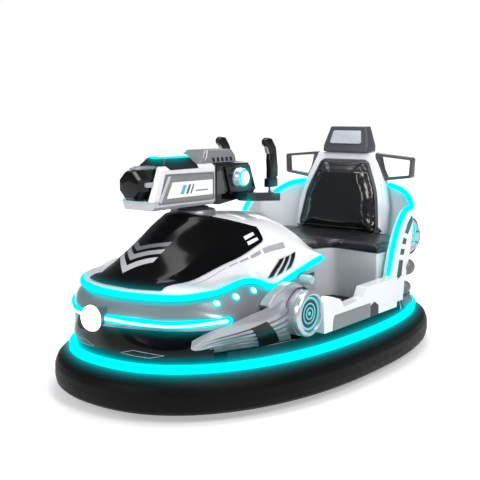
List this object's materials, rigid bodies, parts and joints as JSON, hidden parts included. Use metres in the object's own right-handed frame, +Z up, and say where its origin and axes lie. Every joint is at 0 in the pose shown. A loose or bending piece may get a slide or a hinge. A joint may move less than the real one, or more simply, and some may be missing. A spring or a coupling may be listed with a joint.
{
  "type": "bumper car",
  "caption": "Battery bumper car with an oval rubber ring, straddle seat and winged backrest, lit edge strips, swivel casters and a toy light cannon that turns on the hood.",
  "frame": {"origin": "on the floor under the middle of the bumper ring", "axes": "+X forward to the nose, +Y to the driver's left, +Z up"},
  "size_m": [1.95, 1.208, 0.993],
  "materials": {
    "black_rubber": "matte",
    "light_strip": "glossy, lit from inside",
    "white_shell": "glossy",
    "silver_shell": "satin metallic",
    "gloss_black": "glossy",
    "lamp_white": "clear, lit from inside",
    "chrome_trim": "polished",
    "grey_plastic": "satin",
    "black_leather": "satin",
    "frame_steel": "satin",
    "black_plastic": "satin",
    "tyre_rubber": "matte"
  },
  "bodies": {
    "chassis": {"bumper_ring": "black_rubber", "ring_light_strip": "light_strip", "hood": "white_shell", "canopy": "gloss_black", "hood_light_strip": "light_strip", "nose_band": "silver_shell", "headlamp": "lamp_white", "front_fascia": "gloss_black", "chassis_plate": "frame_steel", "floor_pan": "grey_plastic", "front_fender_left": "silver_shell", "front_fender_right": "silver_shell", "side_hub_left": "chrome_trim", "side_hub_right": "chrome_trim", "rear_light_strip_left": "light_strip", "rear_light_strip_right": "light_strip", "pillar_left": "white_shell", "pillar_right": "white_shell", "rear_shell": "white_shell", "turbine_disc_left": "grey_plastic", "turbine_disc_right": "grey_plastic", "seat_base": "white_shell", "seat_cushion": "black_leather", "backrest_shell": "white_shell", "backrest_pad": "black_leather", "wing_left": "grey_plastic", "wing_right": "grey_plastic", "headrest": "grey_plastic", "battery_pack": "black_plastic", "pedestal": "silver_shell", "drive_motor_left": "frame_steel", "drive_motor_right": "frame_steel", "side_sill_left": "white_shell", "side_sill_right": "white_shell"},
    "cannon": {"turret_base": "frame_steel", "gun_housing": "grey_plastic", "gun_muzzle": "gloss_black", "gun_light_box": "gloss_black", "gun_top_cover": "silver_shell", "gun_rear_housing": "gloss_black", "gun_lamp": "chrome_trim", "handlebar": "black_plastic", "grip_left": "black_plastic", "grip_right": "black_plastic"},
    "drive_wheel_left": {"drive_wheel_left": "tyre_rubber"},
    "drive_wheel_right": {"drive_wheel_right": "tyre_rubber"},
    "caster_fork_left": {"caster_fork_left": "frame_steel"},
    "caster_fork_right": {"caster_fork_right": "frame_steel"},
    "caster_wheel_left": {"caster_wheel_left": "tyre_rubber"},
    "caster_wheel_right": {"caster_wheel_right": "tyre_rubber"}
  },
  "joints": [
    {"name": "cannon_turn", "type": "hinge", "parent": "chassis", "child": "cannon", "pos_m": [0.42, 0, 0.7], "axis": [0, 0, 1], "range_deg": [-35, 35]},
    {"name": "drive_wheel_left_spin", "type": "hinge", "parent": "chassis", "child": "drive_wheel_left", "pos_m": [-0.3, 0.352, 0.095], "axis": [0, 1, 0], "continuous": true},
    {"name": "drive_wheel_right_spin", "type": "hinge", "parent": "chassis", "child": "drive_wheel_right", "pos_m": [-0.3, -0.352, 0.095], "axis": [0, 1, 0], "continuous": true},
    {"name": "caster_left_swivel", "type": "hinge", "parent": "chassis", "child": "caster_fork_left", "pos_m": [0.5, 0.25, 0.14], "axis": [0, 0, 1], "continuous": true},
    {"name": "caster_right_swivel", "type": "hinge", "parent": "chassis", "child": "caster_fork_right", "pos_m": [0.5, -0.25, 0.14], "axis": [0, 0, 1], "continuous": true},
    {"name": "caster_wheel_left_spin", "type": "hinge", "parent": "caster_fork_left", "child": "caster_wheel_left", "pos_m": [0.468, 0.25, 0.05], "axis": [0, 1, 0], "continuous": true},
    {"name": "caster_wheel_right_spin", "type": "hinge", "parent": "caster_fork_right", "child": "caster_wheel_right", "pos_m": [0.468, -0.25, 0.05], "axis": [0, 1, 0], "continuous": true}
  ]
}
